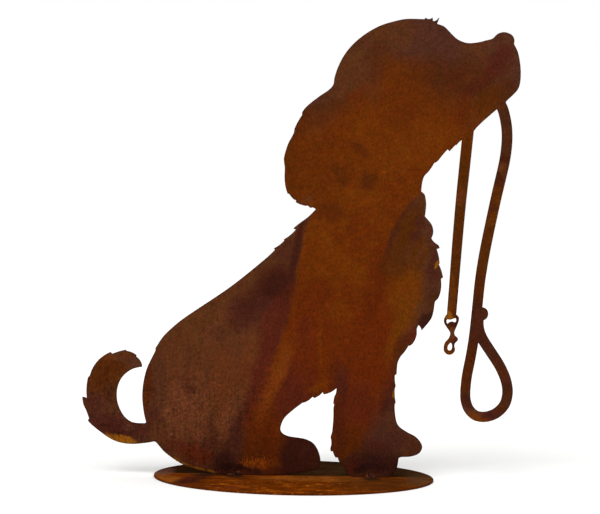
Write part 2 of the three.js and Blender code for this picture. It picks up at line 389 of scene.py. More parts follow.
def refine(points, after, shape):
    # splits each long edge at the middle of a curve that leaves both ends along their tangents:
    # the middle of the edge plus an eighth of its length times the difference of the two tangents
    limit = math.cos(math.radians(shape["cornerAngle"]))
    while True:
        ahead = unit(points[after] - points)
        behind = unit(points - points[pointsBefore(after)])
        smooth = (ahead * behind).sum(1) > limit
        tangent = unit(ahead + behind)
        length = np.linalg.norm(points[after] - points, axis=1)
        split = np.flatnonzero(length > shape["outlineStep"])
        if not len(split):
            return points, after
        end = after[split]
        leave = np.where(smooth[split, None], tangent[split], ahead[split])
        arrive = np.where(smooth[end, None], tangent[end], ahead[split])
        middle = (points[split] + points[end]) / 2 + length[split, None] / 8 * (leave - arrive)
        numbers = len(points) + np.arange(len(split))
        points = np.concatenate([points, middle])
        after = np.concatenate([after, end])
        after[split] = numbers


def inParts(work, spots, *outline):
    # the same work on a few hundred spots at a time, which keeps the arrays small
    batches = 60
    return np.concatenate([work(part, *outline) for part in np.array_split(spots, batches) if len(part)])


def insideOutline(spots, points, after):
    # true where a line to the left crosses the outline an odd number of times
    a, b = points, points[after]
    z = spots[:, 1:2]
    crosses = (a[:, 1] > z) != (b[:, 1] > z)
    rise = np.where(np.abs(b[:, 1] - a[:, 1]) < 1e-9, 1e-9, b[:, 1] - a[:, 1])
    x = a[:, 0] + (z - a[:, 1]) * (b[:, 0] - a[:, 0]) / rise
    return (crosses & (x < spots[:, :1])).sum(1) % 2 == 1


def outlineDistance(spots, points):
    # the distance to the nearest point of the outline
    return np.sqrt(((spots[:, None] - points) ** 2).sum(2).min(1))


def gridInside(points, after, spacing, margin):
    # a staggered grid of points, in rows that are the height of an even-sided triangle apart, kept
    # inside the outline and clear of it
    low, high = points.min(0), points.max(0)
    rows = np.arange(low[1], high[1], spacing * 0.866)
    x, z = np.meshgrid(np.arange(low[0], high[0], spacing), rows)
    x = x + (np.arange(len(rows)) % 2)[:, None] * spacing / 2
    spots = np.stack([x.ravel(), z.ravel()], 1)
    spots = spots[inParts(insideOutline, spots, points, after)]
    return spots[inParts(outlineDistance, spots, points) > spacing * margin]


def inwardSides(points, after):
    # inward direction: the two edges' inward sides, halved, lengthened at corners so that the edge
    # keeps its width there
    ahead = unit(points[after] - points) @ [[0, 1], [-1, 0]]
    behind = unit(points - points[pointsBefore(after)]) @ [[0, 1], [-1, 0]]
    inward = unit(ahead + behind)
    inward = inward / np.clip((inward * ahead).sum(1), 0.5, 1)[:, None]
    step = 0.02                            # a short step inwards has to land inside
    landed = insideOutline(points[:400] + inward[:400] * step, points, after)
    return inward if landed.mean() > 0.5 else -inward


def cutProfile(shape):
    # from the front face round the cut to the back face: how far in, and how deep along Y
    r, half = shape["arris"], shape["thick"] / 2
    turns = np.radians(shape["arrisTurns"])
    steps = [(r * (1 - math.sin(a)), -half + r * (1 - math.cos(a))) for a in turns]
    steps += [(0.0, -half / 3), (0.0, half / 3)]
    steps += [(r * (1 - math.cos(a)), half - r * (1 - math.sin(a))) for a in turns]
    return steps[1:-1]


def fillOutline(rim, inner, after):
    # triangles between the rim and the points inside it, all turned towards -Y
    flat = np.concatenate([rim, inner])
    edges = np.stack([np.arange(len(rim)), after], 1)
    places = [Vector(p) for p in flat.tolist()]
    _, _, faces, origins, _, _ = delaunay_2d_cdt(places, edges.tolist(), [], 0, 1e-7)
    origin = np.array([o[0] if o else -1 for o in origins])
    faces = origin[np.array(faces)]
    keep = inParts(insideOutline, flat[faces].mean(1), rim, after)
    faces = faces[keep & (faces >= 0).all(1)]
    a, b, c = (flat[faces[:, k]] for k in range(3))
    area = (b[:, 0] - a[:, 0]) * (c[:, 1] - a[:, 1]) - (b[:, 1] - a[:, 1]) * (c[:, 0] - a[:, 0])
    return np.where(area[:, None] > 0, faces, faces[:, ::-1])


def makeSheet(shape, material):
    # two faces with the relief that rust has eaten into them, joined by rings carried round the cut
    points, after = frontOutline(shape["node"])
    low, high = points.min(0), points.max(0)
    points, after = refine(points, after, shape)
    points = np.clip(points, low, high)
    count = len(points)
    inward = inwardSides(points, after)
    uneven = shape["cutRoughness"] * np.random.default_rng(shape["cutSeed"]).random(count)
    r, half = shape["arris"], shape["thick"] / 2
    spacing = shape["grid"] * 1
    inner = gridInside(points, after, spacing, shape["margin"])
    rim = points + inward * (r + uneven[:, None])
    faces = fillOutline(rim, inner, after)
    print("sheet outline", count, "points, inside", len(inner))
    x, z = np.concatenate([rim, inner]).T
    gap = np.concatenate([np.full(count, r), inParts(outlineDistance, inner, points)])
    fade = np.clip((gap - r) / shape["pitFade"], 0, 1)
    corners = []
    for side, depth, seed in zip((-1, 1), shape["pitDepths"], shape["pitSeeds"]):
        relief = depth * fade * pitting(x, z, shape["pitSizes"], seed)
        corners.append(np.stack([x, side * (half - relief), z], 1))
    for inside, depth in cutProfile(shape):
        lean = shape["kerfLean"] * (depth + half) / (2 * half)
        ring = points + inward * (inside + lean + uneven[:, None])
        corners.append(np.stack([ring[:, 0], np.full(count, depth), ring[:, 1]], 1))
    starts = [0, *range(2 * len(x), sum(len(c) for c in corners), count), len(x)]
    here = np.arange(count)
    quads = [np.stack([s + here, t + here, t + after, s + after], 1) for s, t in zip(starts, starts[1:])]
    fromEdge = np.concatenate([gap, gap, np.zeros(count * (len(corners) - 2))]) * mm
    return makePiece("rustedSheet", np.concatenate(corners), [faces, faces[:, ::-1] + len(x), *quads],
                     material, {"fromEdge": fromEdge})


# the sheet's rust: every tone as it looks in this light
rustTones = {
    "slate": (80, 43, 26), "dusk": (79, 43, 31), "haze": (83, 46, 30), "smoke": (71, 36, 18),
    "sage": (94, 50, 26), "chalk": (106, 57, 32), "moss": (89, 48, 23), "khaki": (104, 51, 21),
    "amber": (102, 45, 6), "toffee": (95, 41, 6), "bright": (108, 50, 6), "gold": (104, 52, 7),
    "copper": (99, 37, 7), "brick": (91, 34, 7), "bronze": (83, 39, 6), "umber": (78, 34, 9),
    "mauve": (86, 32, 19), "wine": (75, 28, 16), "violet": (71, 32, 23), "plum": (62, 25, 16),
    "navy": (52, 23, 18), "soot": (47, 22, 19), "honey": (137, 80, 15), "ember": (121, 57, 15),
    "spark": (160, 74, 8), "black": (34, 12, 13),
}
# where the rust has turned, and a few painted highlights: tone, place along X and Z, half width, half
# height, lean of the height to the right in degrees, strength and softness; all lengths in millimetres
sheetRust = {
    "gain": 1.17,             # how much brighter this light shows the rust than it is
    "haze": 0.0004,           # how much light the gloss adds
    "wander": 5.0,            # how far the stains' edges stray
    "wanderSwells": 38,       # how many times they do so in a metre
    "underStains": [
        # haunch
        ("sage", -95, 110, 58, 62, 0, 0.9, 0.6), ("moss", -112, 134, 16, 16, 0, 0.6, 0.7),
        ("chalk", -122, 70, 14, 26, 0, 0.75, 0.6), ("chalk", -100, 62, 9, 22, 10, 0.8, 0.6),
        ("chalk", -88, 92, 6, 12, 20, 0.5, 0.6), ("chalk", -73, 60, 7, 22, 12, 0.8, 0.5),
        ("slate", -148, 92, 9, 50, 0, 0.7, 0.6), ("moss", -112, 162, 36, 14, -37, 0.8, 0.6),
        ("khaki", -77, 104, 12, 25, 0, 0.5, 0.6), ("khaki", -50, 118, 10, 24, 10, 0.6, 0.6),
        ("violet", -62, 168, 12, 15, 0, 0.55, 0.6), ("violet", -84, 150, 7, 6, 0, 0.35, 0.7),
        ("violet", -64, 46, 6, 19, 10, 0.7, 0.5), ("violet", -89, 47, 5, 14, 0, 0.4, 0.6),
        ("violet", -56, 60, 5, 24, 12, 0.5, 0.6), ("violet", -113, 92, 7, 6, 0, 0.55, 0.6),
        ("violet", -151, 56, 10, 13, 0, 0.7, 0.6), ("moss", -145, 45, 9, 9, 0, 0.7, 0.6),
        ("umber", -158, 92, 5, 26, 0, 0.8, 0.4), ("violet", -78, 28, 40, 8, 0, 0.5, 0.7),
        # back
        ("violet", -44, 184, 24, 15, -38, 0.85, 0.6), ("plum", -44, 188, 18, 8, -38, 0.4, 0.6),
        ("plum", -20, 205, 19, 17, 0, 0.9, 0.5), ("soot", -20, 205, 9, 10, 0, 0.3, 0.7),
        ("wine", -10, 180, 11, 20, 12, 0.8, 0.6), ("mauve", -26, 156, 12, 24, 14, 0.75, 0.6),
        ("mauve", -35, 114, 9, 42, 14, 0.7, 0.6), ("mauve", -46, 66, 7, 30, 8, 0.45, 0.6),
        ("violet", -14, 238, 8, 18, 25, 0.45, 0.6),
        # head
        ("dusk", 138, 469, 42, 27, 8, 0.9, 0.5), ("slate", 64, 462, 24, 10, -40, 0.7, 0.6),
        ("moss", 53, 432, 14, 27, 20, 0.75, 0.6), ("moss", 94, 472, 22, 12, -10, 0.8, 0.6),
        ("umber", 82, 448, 12, 15, 0, 0.45, 0.7), ("umber", 152, 424, 42, 19, 0, 0.75, 0.7),
        ("wine", 194, 428, 5, 30, 42, 0.6, 0.7), ("mauve", 208, 446, 11, 14, 0, 0.5, 0.6),
        ("violet", 208, 450, 10, 12, 0, 0.4, 0.6), ("dusk", 230, 438, 6, 34, 0, 0.85, 0.6),
        ("haze", 214, 471, 15, 7, 0, 0.8, 0.6), ("moss", 186, 459, 12, 7, 0, 0.7, 0.6),
        ("haze", 199, 462, 8, 6, -20, 0.8, 0.6), ("umber", 222, 412, 12, 12, 0, 0.6, 0.6),
        ("bronze", 197, 401, 19, 11, -43, 0.9, 0.6),
        # ear
        ("dusk", 12, 401, 20, 6, -40, 0.8, 0.5), ("smoke", 26, 392, 14, 9, -40, 0.6, 0.6),
        ("bronze", 10, 384, 14, 9, -38, 0.5, 0.7), ("umber", -5, 358, 9, 34, 12, 0.8, 0.6),
        ("umber", 44, 397, 12, 8, -35, 0.6, 0.6),
        # far leg
        ("dusk", 96, 52, 22, 22, 0, 0.85, 0.6), ("violet", 101, 98, 8, 27, -6, 0.95, 0.6),
        ("slate", 101, 64, 8, 10, 0, 0.9, 0.6), ("plum", 94, 77, 5, 9, 0, 0.7, 0.6),
    ],
    "amberLeft": [
        (0, -54), (20, -53), (40, -51), (60, -46), (80, -42), (100, -36), (120, -28), (140, -19),
        (160, -11), (180, -6), (200, -3), (220, 0), (240, 3), (260, 7), (284, 13), (291, -60), (500, -60),
    ],
    "amberRight": [
        (0, 38), (15, 48), (25, 59), (35, 68), (50, 76), (65, 81), (80, 86), (100, 92), (115, 97),
        (130, 103), (145, 110), (160, 115), (176, 120), (200, 125), (213, 122), (222, 92), (240, 95),
        (252, 98), (268, 105), (286, 115), (298, 122), (312, 150), (330, 200), (398, 206), (410, 250),
        (500, 250),
    ],
    "amberTop": [
        (-240, 335), (-20, 340), (0, 366), (20, 378), (40, 392), (56, 405), (68, 414), (82, 424),
        (98, 444), (110, 434), (122, 418), (140, 408), (155, 400), (168, 388), (182, 384), (200, 392),
        (240, 396),
    ],
    "overStains": [
        # thigh
        ("brick", -35, 50, 15, 34, 8, 0.8, 0.6), ("mauve", -6, 78, 15, 22, 0, 0.85, 0.6),
        ("mauve", -34, 104, 7, 28, 14, 0.6, 0.6), ("mauve", 5, 104, 16, 24, -8, 0.85, 0.5),
        ("copper", 16, 158, 19, 40, 6, 0.75, 0.6), ("mauve", 10, 152, 10, 16, 0, 0.45, 0.7),
        ("copper", 56, 140, 46, 44, 0, 0.6, 0.8), ("brick", 16, 196, 18, 12, 0, 0.35, 0.8),
        ("bright", 27, 98, 11, 5, -22, 0.9, 0.6), ("bright", 26, 142, 2.5, 24, 0, 0.6, 0.7),
        ("wine", 42, 108, 5, 15, 0, 0.5, 0.7), ("umber", -36, 26, 15, 14, 0, 0.6, 0.7),
        # near foreleg
        ("copper", 74, 120, 22, 66, 6, 0.85, 0.6), ("mauve", 68, 78, 14, 20, 0, 0.55, 0.7),
        ("wine", 47, 62, 7, 42, 0, 0.7, 0.6), ("violet", 50, 104, 6, 14, 0, 0.5, 0.6),
        ("umber", 60, 36, 14, 14, 20, 0.6, 0.6), ("brick", 83, 206, 9, 36, 10, 0.8, 0.6),
        # chest
        ("gold", 118, 194, 12, 34, 12, 0.95, 0.6), ("gold", 103, 150, 6, 24, 18, 0.6, 0.7),
        ("bright", 112, 208, 12, 16, 0, 0.5, 0.7), ("bright", 46, 177, 12, 8, 0, 0.6, 0.8),
        ("bright", 46, 230, 9, 34, -50, 0.6, 0.6), ("bright", 24, 262, 12, 16, -20, 0.5, 0.7),
        ("bright", 62, 298, 26, 9, 0, 0.8, 0.6), ("umber", 32, 284, 13, 9, 0, 0.6, 0.6),
        ("brick", 60, 274, 6, 12, 0, 0.35, 0.6), ("bronze", 114, 262, 9, 28, 24, 0.9, 0.5),
        ("violet", 129, 273, 6, 7, 0, 0.7, 0.6), ("violet", 125, 257, 6, 6, 0, 0.8, 0.6),
        ("bronze", 127, 240, 9, 14, 20, 0.8, 0.6), ("sage", 131, 242, 3, 12, 24, 0.5, 0.6),
        ("bronze", 102, 226, 12, 11, 20, 0.8, 0.7), ("dusk", 143, 258, 5, 26, -10, 0.6, 0.6),
        ("violet", 147, 224, 6, 20, 0, 0.8, 0.6), ("slate", 148, 204, 6, 8, 0, 0.8, 0.6),
        ("smoke", 143, 190, 7, 8, 0, 0.8, 0.6), ("navy", 139, 170, 12, 6, -35, 0.9, 0.5),
        ("mauve", 126, 152, 6, 10, 20, 0.7, 0.6), ("umber", 112, 136, 7, 14, 15, 0.7, 0.6),
        # the small honey speck here is bright rust on the edge, and a painted highlight as well
        ("honey", 151, 229, 2, 3.5, 40, 0.9, 0.5),
        # cheek, jaw and ear
        ("bright", 132, 362, 44, 17, -38, 0.75, 0.7), ("bright", 74, 366, 11, 18, 0, 0.6, 0.7),
        ("toffee", 12, 326, 34, 32, 0, 0.7, 0.7), ("toffee", 134, 392, 34, 16, -10, 0.5, 0.7),
        ("copper", 63, 405, 10, 8, 0, 0.5, 0.7), ("brick", 170, 390, 9, 14, 20, 0.6, 0.6),
        ("umber", 73, 319, 8, 10, -12, 0.7, 0.6), ("umber", 46, 322, 5, 10, -20, 0.5, 0.6),
        ("umber", 62, 350, 4, 14, -64, 0.5, 0.6), ("bright", 76, 336, 5, 9, 30, 0.6, 0.6),
        ("moss", 80, 414, 9, 14, 0, 0.5, 0.7), ("toffee", 106, 420, 24, 24, 0, 0.6, 0.8),
        ("bronze", -8, 322, 6, 30, 0, 0.5, 0.6), ("sage", 8, 293, 9, 5, -20, 0.5, 0.6),
        # hind foot and the foot of the haunch
        ("navy", 11, 20, 27, 46, 0, 0.9, 0.25), ("violet", 16, 26, 9, 10, 0, 0.3, 0.7),
        ("brick", -26, 30, 7, 11, 0, 0.6, 0.6), ("mauve", -110, 25, 22, 8, 22, 0.6, 0.6),
        ("copper", -111, 26, 8, 6, 0, 0.5, 0.6), ("copper", -96, 20, 6, 6, 0, 0.45, 0.6),
        ("navy", -70, 12, 17, 11, 0, 0.9, 0.5), ("ember", -43, 14, 11, 5, 0, 0.5, 0.6),
        ("soot", -43, 7, 8, 4, 0, 0.8, 0.5), ("plum", -34, 4, 60, 4, 0, 0.7, 0.5),
        # far paw
        ("violet", 107, 42, 10, 8, 0, 0.35, 0.6), ("violet", 131, 33, 7, 9, 0, 0.5, 0.6),
        # the small honey speck here is bright rust on the edge, and a painted highlight as well
        ("honey", 106, 90, 1.5, 5, 0, 0.8, 0.5), ("violet", 88, 31, 14, 10, 0, 0.85, 0.6),
        ("navy", 86, 15, 30, 11, 0, 0.85, 0.5), ("wine", 61, 13, 7, 8, 0, 0.7, 0.6),
        ("navy", 108, 18, 9, 12, 0, 0.5, 0.6), ("black", 72, 9, 7, 4, 0, 0.5, 0.5),
        ("black", 84, 12, 9, 4, 0, 0.4, 0.5), ("black", -62, 9, 12, 4, 0, 0.6, 0.5),
        # tail
        ("bronze", -204, 108, 20, 22, 0, 0.85, 0.6), ("khaki", -197, 124, 8, 5, 0, 0.6, 0.6),
        ("moss", -182, 125, 12, 6, 0, 0.9, 0.6), ("haze", -169, 118, 7, 5, 20, 0.8, 0.6),
        ("umber", -198, 115, 10, 5, 0, 0.7, 0.6), ("umber", -205, 103, 6, 6, 0, 0.6, 0.6),
        ("smoke", -198, 89, 6, 8, 0, 0.7, 0.6), ("plum", -198, 78, 4, 4, 0, 0.4, 0.6),
        ("violet", -214, 76, 9, 10, 0, 0.6, 0.6), ("violet", -204, 54, 20, 9, 14, 0.9, 0.6),
        ("violet", -182, 47, 26, 11, 8, 0.85, 0.6), ("plum", -196, 47, 20, 4, 10, 0.5, 0.6),
        # the honey stain on the tail's lower edge is a painted highlight
        ("dusk", -174, 52, 7, 4, 0, 0.7, 0.6), ("honey", -187, 37, 17, 5, 14, 1.0, 0.3),
        # leash: the loop's strap and the loop, then the hook's strap and the hook
        ("smoke", 219, 368, 10, 38, 0, 0.8, 0.4), ("plum", 218, 341, 6, 6, 0, 0.8, 0.5),
        ("bronze", 204, 262, 16, 70, 9, 0.95, 0.4), ("gold", 212, 297, 5, 5, 0, 0.5, 0.6),
        ("gold", 206, 279, 5, 7, 0, 0.5, 0.6), ("wine", 207, 291, 5, 4, 0, 0.5, 0.6),
        ("umber", 192, 204, 9, 15, 0, 0.8, 0.6), ("plum", 192, 165, 13, 27, 0, 0.65, 0.5),
        ("smoke", 201, 178, 4, 5, 0, 0.8, 0.6), ("umber", 184, 118, 9, 30, 6, 0.95, 0.5),
        ("dusk", 184, 80, 8, 12, 0, 0.5, 0.5), ("khaki", 178, 86, 2, 8, 0, 0.8, 0.5),
        ("khaki", 193, 65, 11, 5, 20, 0.9, 0.5), ("violet", 209, 70, 10, 6, -15, 0.95, 0.5),
        ("smoke", 225, 88, 8, 16, 0, 0.95, 0.5), ("umber", 219, 76, 5, 6, -40, 0.6, 0.6),
        ("plum", 224, 106, 8, 10, 0, 0.5, 0.5), ("umber", 221, 118, 6, 6, 0, 0.7, 0.6),
        ("plum", 183, 84, 5, 9, -20, 0.7, 0.5), ("bright", 196, 65, 10, 3, 15, 0.7, 0.5),
        ("plum", 213, 322, 6, 6, 0, 0.6, 0.5), ("chalk", 217, 333, 4, 5, 0, 0.5, 0.5),
        ("plum", 210, 135, 9, 17, -38, 0.6, 0.5), ("bronze", 170, 264, 10, 104, 3, 0.95, 0.4),
        ("gold", 163, 196, 3, 22, 4, 0.5, 0.6), ("khaki", 171, 300, 4, 8, 4, 0.5, 0.6),
        ("umber", 166, 160, 10, 14, 0, 0.8, 0.5), ("plum", 166, 166, 6, 4, 0, 0.8, 0.5),
        ("honey", 161, 174, 4, 5, 0, 0.9, 0.5), ("chalk", 165, 155, 3, 6, 0, 0.8, 0.5),
        ("violet", 170, 149, 4, 4, 0, 0.9, 0.5), ("bright", 160, 144, 4, 5, 0, 0.8, 0.5),
        ("bright", 163, 135, 8, 5, 0, 1.0, 0.4),
    ],
    "streak": [
        (20, -48), (40, -45), (60, -38), (80, -31), (100, -22), (120, -14), (140, -8), (170, -2),
        (500, 0),
    ],
    "streakWidth": 9.0,
    "backStains": [
        ("amber", 60, 250, 60, 90, 12, 0.9, 0.8), ("copper", 60, 90, 50, 60, 0, 0.8, 0.8),
        ("sage", -90, 120, 60, 70, 0, 0.6, 0.8), ("plum", 0, 24, 150, 20, 0, 0.7, 0.7),
        ("plum", 150, 430, 50, 30, -20, 0.4, 0.8), ("amber", 80, 370, 60, 40, 0, 0.8, 0.8),
        ("wine", -20, 200, 40, 30, -30, 0.6, 0.8), ("umber", 200, 250, 40, 150, 0, 0.5, 0.7),
    ],
    "backShift": 0.37,        # metres between the front's and the back's rust pattern
    # soft boxes on the haunch: middle, outer and inner half size, along X and then along Z
    "wrinkled": [((-78, 30, 12), (160, 22, 10)), ((-108, 18, 6), (120, 40, 20))],
    "sparked": ((-42, 22, 6), (16, 9, 1)),
}
# the rust's fine patterns: the width of a swell, or its width and height, in metres, and how much
# the light changes over it
sheetGrain = {
    "cloud": 0.045,
    "mottle": 0.012, "mottleDepth": 0.55,
    "grain": (0.0018, 0.0028), "grainDepth": 1.45,
    "fine": 0.0042, "fineDepth": 0.85,
    "roughDepth": 0.7,        # how much deeper the fine pattern is at the foot of the haunch
    "runs": (0.0045, 0.045), "runsDepth": 0.1, "lowerRunsDepth": 0.8,
    "marks": 0.014, "marksDepth": 0.14,
    # folds: wrinkles painted as a highlight beside a shade
    "folds": (0.007, 0.018), "foldLight": 0.24, "foldShade": 0.26,
    "tints": 1 / 140, "tintDepth": 0.5,
}


def stain(finish, colour, where, mark, tones, depth=0.0):
    # a soft oval of another tone: with u and v the distances from its middle along its two axes, each
    # in its half size, u*u + v*v is 1 at its drawn size, where the tone is half strong
    tone, x, z, wide, high, lean, strength, soft = mark
    apart = 100                            # keeps front stains off the back and the other way round
    c, s = math.cos(math.radians(lean)), math.sin(math.radians(lean))
    fromMiddle = finish.vector("SUBTRACT", where, (x * mm, depth, z * mm))
    u = finish.vector("DOT_PRODUCT", fromMiddle, (c / (wide * mm), apart, -s / (wide * mm)), 1)
    v = finish.vector("DOT_PRODUCT", fromMiddle, (s / (high * mm), 0, c / (high * mm)), 1)
    share = (u * u + v * v).rise((1 + soft) ** 2, max(1 - soft, 0) ** 2, strength)
    return finish.mix(colour, tones[tone], share)


def softBox(x, z, box):
    # 1 in the middle of a box, falling to 0 at its outer half size
    (atX, outerX, innerX), (atZ, outerZ, innerZ) = box
    across = abs(x - atX * mm).rise(outerX * mm, innerX * mm)
    return across * abs(z - atZ * mm).rise(outerZ * mm, innerZ * mm)


def paintAmber(f, colour, at, strayed, cloud, mottle, front, look, tones):
    # the broad amber band from cheek and ear down the neck and chest into both legs: it lies between
    # two drawn lines and under a third, and a dark line runs along each side
    x, _, z = at
    wx, _, wz = strayed
    halfWay = (wx + x) * 0.5
    left = f.line(z, look["amberLeft"], (0, 500), (-60, 20))
    right = f.line(z, look["amberRight"], (0, 500), (40, 250))
    top = f.line(x, look["amberTop"], (-240, 240), (300, 500))
    inside = (halfWay - left).rise(-0.003, 0.004) * (right - halfWay).rise(-0.003, 0.005)
    inside = inside * (top - wz).rise(-0.02, 0.022) * front
    amber = f.mix(tones["amber"], tones["copper"], cloud.rise(0.42, 0.7) * 0.6)
    amber = f.mix(amber, tones["bright"], mottle.rise(0.5, 0.68) * 0.5)
    colour = f.mix(colour, amber, inside)
    beside = abs(halfWay - left + 0.0045).rise(0.007, 0.0015) * z.rise(0.2, 0.22) * z.rise(0.29, 0.27)
    colour = f.mix(colour, tones["plum"], beside * front * 0.8)
    beside = abs(halfWay - right).rise(0.006, 0.001) * z.rise(0.214, 0.23) * z.rise(0.305, 0.28)
    return f.mix(colour, tones["plum"], beside * front * 0.6)


def paintThighRun(f, colour, at, strayed, front, look, tones):
    # the bright run down the thigh, strongest along a drawn line
    x, _, z = at
    run = f.line(z, look["streak"], (0, 500), (-60, 20))
    off = abs((strayed[0] + x) * 0.5 - run) / (look["streakWidth"] * mm)
    share = off.rise(1.4, 0.1) * z.rise(0.165, 0.115) * z.rise(0.03, 0.1) * front
    return f.mix(colour, tones["ember"], share * 0.85)


def shadeGrain(f, colour, at, strayed, flat, patterns, front, look, grain):
    # the light on the rust: 1 plus each fine pattern less its middle, times that pattern's depth
    mottle, grains, fine = patterns
    x, _, z = at
    wx, _, wz = strayed
    haunch = (wz + wx * 0.5).rise(0.14, 0.04) * (wx - wz * 0.5).rise(-0.04, -0.1)
    rough = haunch * z.rise(0.13, 0.08)
    light = 1 + (grains - 0.5) * grain["grainDepth"] + (mottle - 0.5) * grain["mottleDepth"]
    light = light + (fine - 0.5) * (rough * grain["roughDepth"] + grain["fineDepth"])
    light = light + grains.rise(0.5, 0.68) * rough * 0.3 - 0.08 * rough
    # vertical runs, mainly low on the haunch
    runs = f.streaks(flat, grain["runs"], 3, 0.6)
    lower = z.rise(0.16, 0.06) * x.rise(-0.02, -0.06)
    light = light + (runs - 0.5) * (lower * grain["lowerRunsDepth"] + grain["runsDepth"])
    # thin pale water marks, where a broad noise passes its middle
    marks = abs(f.noise(flat, grain["marks"], 4, 0.55, 1.2) - 0.5).rise(0.032, 0.004)
    light = light + marks * mottle.rise(0.46, 0.6) * grain["marksDepth"]
    # wrinkles on the haunch: thin folds with a painted highlight beside a painted shade
    folds = f.streaks(flat, grain["folds"], 1, 0.5, 0.8) - 0.5
    here, there = (softBox(x, z, box) for box in look["wrinkled"])
    folded = (here + there) * mottle.rise(0.4, 0.52) * front
    pale = abs(folds).rise(0.07, 0.02) * grain["foldLight"]
    dark = abs(folds + 0.07).rise(0.07, 0.02) * grain["foldShade"]
    light = light + (pale - dark) * folded
    # each screen colour strays a little on its own, so that the hue changes from spot to spot
    tints = f.noise(flat, grain["tints"], 4, 0.7, output=1)
    stray = f.vector("SCALE", f.vector("SUBTRACT", tints, (0.5, 0.5, 0.5)), grain["tintDepth"])
    return f.shade(f.vector("MULTIPLY", colour, f.vector("ADD", stray, (1, 1, 1))), light)


def paintEdges(f, colour, at, fine, front, tones):
    # a painted highlight along the edge under the haunch, a dark line of painted shade round both faces,
    # and brown scale on the cut
    x, y, z = at
    fromEdge = f.add("ShaderNodeAttribute", {"attribute_name": "fromEdge"}, {}, 2)
    # painted highlight: honey along the cut edge under the haunch, where the rim catches the light
    haunchHighlight = fromEdge.rise(0.0036, 0.0014) * x.rise(-0.131, -0.124) * x.rise(-0.078, -0.086)
    haunchHighlight = haunchHighlight * z.rise(0.026, 0.02) * fine.rise(0.36, 0.5) * front
    colour = f.mix(colour, tones["honey"], haunchHighlight * 0.85)
    # painted shade: both faces darken towards the rounded cut edge
    colour = f.shade(colour, 1 - fromEdge.rise(0.0014, 0.0003) * 0.3)
    scale = f.mix(tones["umber"], tones["ember"], f.noise(f.coords, 0.004, 3).rise(0.5, 0.75))
    return f.mix(colour, scale, abs(y).rise(0.00098, 0.0007) * 0.8)


def makeSheetFinish(look, grain, tones):
    # the back has its own pattern, because its places are shifted along Y
    f = Finish("rustedSheet", look["gain"], look["haze"])
    at = f.parts(f.coords)
    x, y, z = at
    behind = y.math("GREATER_THAN", 0.0)
    front = 1 - behind
    flat = f.add("ShaderNodeCombineXYZ", {}, [x, behind * look["backShift"], z])
    where = f.astray(flat, look["wander"], look["wanderSwells"])
    strayed = f.parts(where)
    cloud = f.noise(flat, grain["cloud"], 4, 0.6)
    mottle = f.noise(flat, grain["mottle"], 5, 0.62)
    grains = f.streaks(flat, grain["grain"], 2, 0.75)
    fine = f.noise(flat, grain["fine"], 3, 0.65)
    colour = f.mix(tones["slate"], tones["moss"], cloud.rise(0.35, 0.7))
    for mark in look["underStains"]:
        colour = stain(f, colour, where, mark, tones)
    colour = paintAmber(f, colour, at, strayed, cloud, mottle, front, look, tones)
    for mark in look["overStains"]:
        colour = stain(f, colour, where, mark, tones)
    colour = paintThighRun(f, colour, at, strayed, front, look, tones)
    for mark in look["backStains"]:
        colour = stain(f, colour, where, mark, tones, look["backShift"])
    patterns = (mottle, grains, fine)
    colour = shadeGrain(f, colour, at, strayed, flat, patterns, front, look, grain)
    # a few bright flecks at the foot of the haunch
    speck = (grains * 0.65 + mottle * 0.35).rise(0.47, 0.58)
    sparks = speck * softBox(strayed[0], strayed[2], look["sparked"]) * front * 0.9
    colour = f.mix(colour, tones["spark"], sparks)
    colour = paintEdges(f, colour, at, fine, front, tones)
    dullness = mottle * 0.25 + fine * 0.12 + 0.33
    return f.finish(colour, dullness, [(fine, 0.00012), (mottle, 0.0003)], 0.02, 0.35)


# the round plate
plateShape = {
    "radius": 148.0, "thick": 2.0,
    "sectors": 360,
    "rings": 64,              # on the top
    "underRings": 10,
    "arris": 0.3,
    "rimRoughness": 0.12,
    "rimSwell": 2.6,          # how long its uneven stretches are
    "rimSeed": 3,
    "pitDepth": 0.16,
    "pitSizes": (22, 9, 4.5),
    "pitFade": 3.0,
    "pitSeed": 47,
}


def makePlate(shape, material):
    # a profile of radius and height carried once round the middle: across the top, round the rim and
    # back underneath, with the top pitted and the rim slightly uneven
    r, t, full = shape["arris"], shape["thick"], shape["radius"]
    out = np.linspace(0, 1, shape["rings"] + 1)[1:] * (full - r)
    back = np.linspace(1, 0, shape["underRings"] + 1)[:-1] * (full - r)
    upper, lower = np.radians([30, 60, 90]), np.radians([0, 30])
    radius = np.concatenate([out, full - r + r * np.sin(upper), full - r + r * np.cos(lower), back])
    height = np.concatenate([np.full(len(out), t), t - r + r * np.cos(upper), r - r * np.sin(lower),
                             np.zeros(len(back))])
    angle = np.arange(shape["sectors"]) / shape["sectors"] * 2 * math.pi
    rr, aa = np.meshgrid(radius, angle, indexing="ij")
    uneven = shape["rimRoughness"] * swells(aa * full, 0 * aa, shape["rimSwell"], shape["rimSeed"])
    fade = shape["pitFade"]
    rr = rr - uneven * np.clip((rr - full + fade) / fade, 0, 1)
    x, y = rr * np.cos(aa), rr * np.sin(aa)
    pit = pitting(x, y, shape["pitSizes"], shape["pitSeed"]) * np.clip((full - rr - r) / fade, 0, 1)
    onTop = height[:, None] > t - 0.01
    z = height[:, None] - np.where(onTop, shape["pitDepth"] * pit, 0)
    number = np.arange(x.size).reshape(x.shape)
    middle, underMiddle = x.size, x.size + 1
    centres = [[0, 0, float(z[0].mean())], [0, 0, 0]]
    corners = np.concatenate([np.stack([x, y, z], -1).reshape(-1, 3), centres])
    first, last = (np.append(row, row[0]) for row in (number[0], number[-1]))
    faces = [fan(middle, first), fan(underMiddle, last[::-1]), gridFaces(number)]
    return makePiece("rustedPlate", corners, faces, material)


